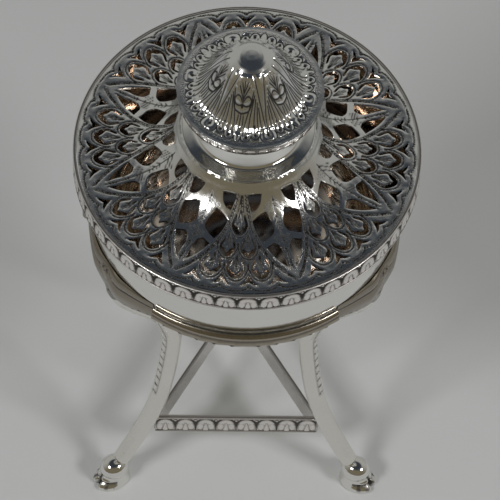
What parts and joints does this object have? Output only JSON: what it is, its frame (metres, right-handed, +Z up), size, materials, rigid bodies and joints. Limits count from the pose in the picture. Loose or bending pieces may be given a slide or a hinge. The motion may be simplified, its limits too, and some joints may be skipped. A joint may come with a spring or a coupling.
{
  "type": "potpourri jar",
  "caption": "Silver potpourri jar: a round bowl on three ram's-mask legs with cloven hooves and a triangular stretcher, under a pierced pull-off cover with a chased cap.",
  "frame": {"origin": "on the table, on the bowl's axis, between the three hooves", "axes": "+Z up along the bowl's axis; -Y towards the viewer of the picture, with two legs in front; +Y towards the third leg"},
  "size_m": [0.1006, 0.1008, 0.2006],
  "materials": {
    "polished_silver": "mirror-polished sterling silver with fine wear marks",
    "cast_silver": "cast and chased silver, polished on the high places and darker in the recesses",
    "chased_silver": "pierced, engraved and chased silver, darkened in the lines",
    "gallery_silver": "stamped gallery strip in silver, dark between the fans",
    "gilt_silver": "silver-gilt, worn and warm in colour"
  },
  "bodies": {
    "stand": {"bowl": "polished_silver", "bowl_gallery_strip": "gallery_silver", "ram_mask_1": "cast_silver", "leg_1": "cast_silver", "hoof_1": "cast_silver", "garland_1": "cast_silver", "stretcher_bar_1": "gallery_silver", "ram_mask_2": "cast_silver", "leg_2": "cast_silver", "hoof_2": "cast_silver", "garland_2": "cast_silver", "stretcher_bar_2": "gallery_silver", "ram_mask_3": "cast_silver", "leg_3": "cast_silver", "hoof_3": "cast_silver", "garland_3": "cast_silver", "stretcher_bar_3": "gallery_silver"},
    "cover": {"pierced_cover": "chased_silver", "cover_bezel": "gilt_silver", "neck_collar": "polished_silver", "cap_dome": "chased_silver", "cap_gallery_strip": "gallery_silver"}
  },
  "joints": [
    {"name": "cover_lift", "type": "slide", "parent": "stand", "child": "cover", "axis": [0, 0, 1], "range_m": [0, 0.08]}
  ]
}
